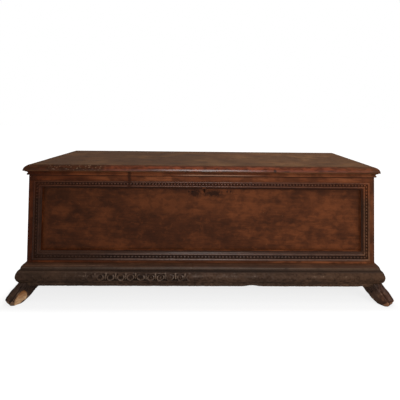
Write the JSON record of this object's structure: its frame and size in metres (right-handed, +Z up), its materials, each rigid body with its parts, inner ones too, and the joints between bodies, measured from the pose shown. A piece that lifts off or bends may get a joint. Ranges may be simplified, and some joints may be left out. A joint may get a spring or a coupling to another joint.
{
  "type": "cassone",
  "caption": "Long walnut chest with a hinged moulded lid, a recessed front panel in a beaded frame, a carved plinth and lion-paw feet.",
  "frame": {"origin": "on the floor, at the centre of the closed chest's bounding box", "axes": "+X along the chest to its right as seen from the front, -Y out of the front, +Z up"},
  "size_m": [1.8036, 0.6138, 0.6303],
  "materials": {
    "walnut_frame": "waxed, worn",
    "walnut_peg": "waxed, worn",
    "walnut_panel": "waxed, worn",
    "walnut_moulding": "waxed, worn",
    "walnut_end": "waxed, worn",
    "walnut_back": "bare, aged",
    "bottom_wood": "bare, aged",
    "walnut_plinth": "waxed, worn",
    "walnut_foot": "waxed, worn",
    "walnut_lid": "waxed, worn",
    "walnut_lip": "waxed, worn",
    "walnut_cleat": "bare, aged",
    "wrought_iron": "dull, hand wrought"
  },
  "bodies": {
    "chest": {"front_top_rail": "walnut_frame", "front_bottom_rail": "walnut_frame", "front_left_stile": "walnut_frame", "front_right_stile": "walnut_frame", "frame_pegs": "walnut_peg", "front_panel": "walnut_panel", "panel_moulding_top": "walnut_moulding", "panel_moulding_bottom": "walnut_moulding", "panel_moulding_left": "walnut_moulding", "panel_moulding_right": "walnut_moulding", "left_end_board": "walnut_end", "right_end_board": "walnut_end", "back_upper_board": "walnut_back", "back_lower_board": "walnut_back", "bottom_board_front": "bottom_wood", "bottom_board_middle": "bottom_wood", "bottom_board_back": "bottom_wood", "plinth_moulding_front": "walnut_plinth", "plinth_moulding_left": "walnut_plinth", "plinth_moulding_right": "walnut_plinth", "foot_front_left": "walnut_foot", "foot_front_right": "walnut_foot", "foot_back_left": "walnut_foot", "foot_back_right": "walnut_foot", "bottom_nails": "wrought_iron", "hinge_loops_back": "wrought_iron", "lock_plate": "wrought_iron", "lock_case": "wrought_iron", "lock_spring": "wrought_iron", "lock_key_pin": "wrought_iron", "lock_nails": "wrought_iron"},
    "lid": {"lid_board": "walnut_lid", "lid_lip_front": "walnut_lip", "lid_lip_left": "walnut_lip", "lid_lip_right": "walnut_lip", "lid_cleat_left": "walnut_cleat", "lid_cleat_right": "walnut_cleat", "cleat_nails": "wrought_iron", "lid_staple": "wrought_iron", "hinge_loops_lid": "wrought_iron"},
    "lock_bolt": {"lock_bolt": "wrought_iron"}
  },
  "joints": [
    {"name": "lid_hinge", "type": "hinge", "parent": "chest", "child": "lid", "pos_m": [0, 0.29124, 0.59145], "axis": [-1, 0, 0], "range_deg": [0, 100]},
    {"name": "bolt_slide", "type": "slide", "parent": "chest", "child": "lock_bolt", "axis": [1, 0, 0], "range_m": [0, 0.014]}
  ]
}
